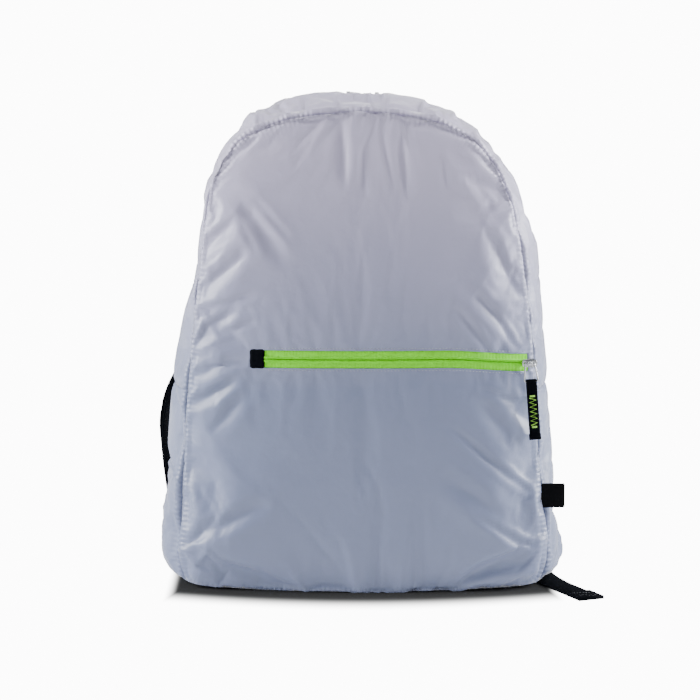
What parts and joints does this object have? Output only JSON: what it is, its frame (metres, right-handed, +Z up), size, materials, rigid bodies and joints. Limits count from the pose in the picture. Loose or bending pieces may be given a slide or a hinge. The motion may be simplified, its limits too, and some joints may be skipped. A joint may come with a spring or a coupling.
{
  "type": "packable backpack",
  "caption": "Light packable daypack of thin grey nylon with green zips, black shoulder straps and webbing, standing on its flat base.",
  "frame": {"origin": "on the floor under the middle of the bag's flat base", "axes": "+Z up, the front faces -Y, +X to the right as the front is seen"},
  "size_m": [0.4064, 0.2953, 0.4383],
  "materials": {
    "nylon": "thin satin nylon, light bluish grey",
    "green_tape": "lime green woven zip tape",
    "black_tab": "black woven tape with green stitching",
    "slider_metal": "plated die-cast metal",
    "strap_fabric": "black padded nylon",
    "webbing": "black woven webbing",
    "buckle_plastic": "moulded black plastic",
    "grey_tape": "grey woven tape",
    "label": "black woven label, bare"
  },
  "bodies": {
    "bag": {"front_panel": "nylon", "pocket_zip_tape_upper": "green_tape", "pocket_zip_tape_lower": "green_tape", "pocket_zip_stop": "black_tab", "pocket_zip_slider": "slider_metal", "gusset_arch_front": "nylon", "gusset_arch_rear": "nylon", "main_zip_tape_front": "green_tape", "main_zip_tape_rear": "green_tape", "base_gusset": "nylon", "main_zip_left_slider": "slider_metal", "main_zip_right_slider": "slider_metal", "back_panel": "nylon", "shoulder_strap_right": "strap_fabric", "shoulder_strap_left": "strap_fabric", "strap_buckle_right": "buckle_plastic", "strap_buckle_left": "buckle_plastic", "webbing_right": "webbing", "webbing_left": "webbing", "strap_anchor_right": "nylon", "strap_anchor_left": "nylon", "haul_loop": "grey_tape", "side_label": "label"},
    "pocket_pull": {"pocket_zip_pull_loop": "slider_metal", "pocket_zip_puller": "black_tab"},
    "main_pull_left": {"main_zip_left_pull_loop": "slider_metal", "main_zip_left_puller": "black_tab"},
    "main_pull_right": {"main_zip_right_pull_loop": "slider_metal", "main_zip_right_puller": "black_tab"}
  },
  "joints": [
    {"name": "pocket_pull_swing", "type": "hinge", "parent": "bag", "child": "pocket_pull", "pos_m": [0.14728, -0.08543, 0.20228], "axis": [-0.997, 0, -0.0779], "range_deg": [0, 150]},
    {"name": "main_pull_left_swing", "type": "hinge", "parent": "bag", "child": "main_pull_left", "pos_m": [-0.013, 0.04131, 0.43241], "axis": [1, 0, 0], "range_deg": [0, 150]},
    {"name": "main_pull_right_swing", "type": "hinge", "parent": "bag", "child": "main_pull_right", "pos_m": [0.013, 0.04149, 0.43158], "axis": [1, 0, 0], "range_deg": [0, 150]}
  ]
}
